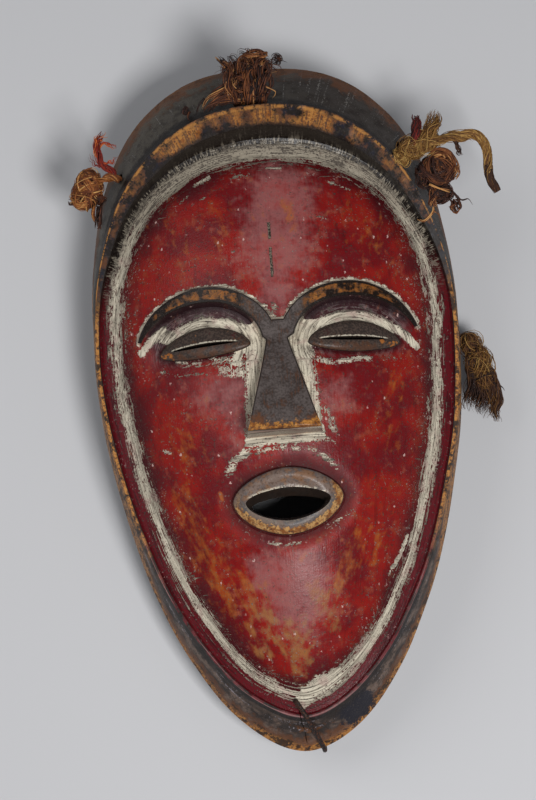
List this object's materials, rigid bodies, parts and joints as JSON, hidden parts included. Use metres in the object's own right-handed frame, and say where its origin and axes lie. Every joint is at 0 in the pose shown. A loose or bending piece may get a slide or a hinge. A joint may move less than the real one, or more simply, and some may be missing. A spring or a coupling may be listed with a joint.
{
  "type": "vuvi mask",
  "caption": "Hollow carved wooden face mask with arched brows, wedge nose, slit eyes, open mouth, forehead band, raffia tufts and an iron chin staple, lying on its back.",
  "frame": {"origin": "middle of the base rectangle, on the surface that the back rim lies on", "axes": "+Z out of the face, +Y towards the top of the head, +X to the viewer's right"},
  "size_m": [0.2316, 0.3704, 0.1127],
  "materials": {
    "carved_wood": "painted and worn, dark red face, white kaolin bands, dark cap",
    "rusty_iron": "rusty forged wire",
    "raffia": "dry brown raffia fibre",
    "raffia_cord": "dry twisted raffia, straw coloured"
  },
  "bodies": {
    "root": {"carved_mask": "carved_wood", "chin_staple": "rusty_iron", "top_tuft": "raffia", "left_tuft": "raffia", "right_tuft": "raffia", "side_tassel": "raffia", "right_cord_tail": "raffia_cord"}
  },
  "joints": []
}
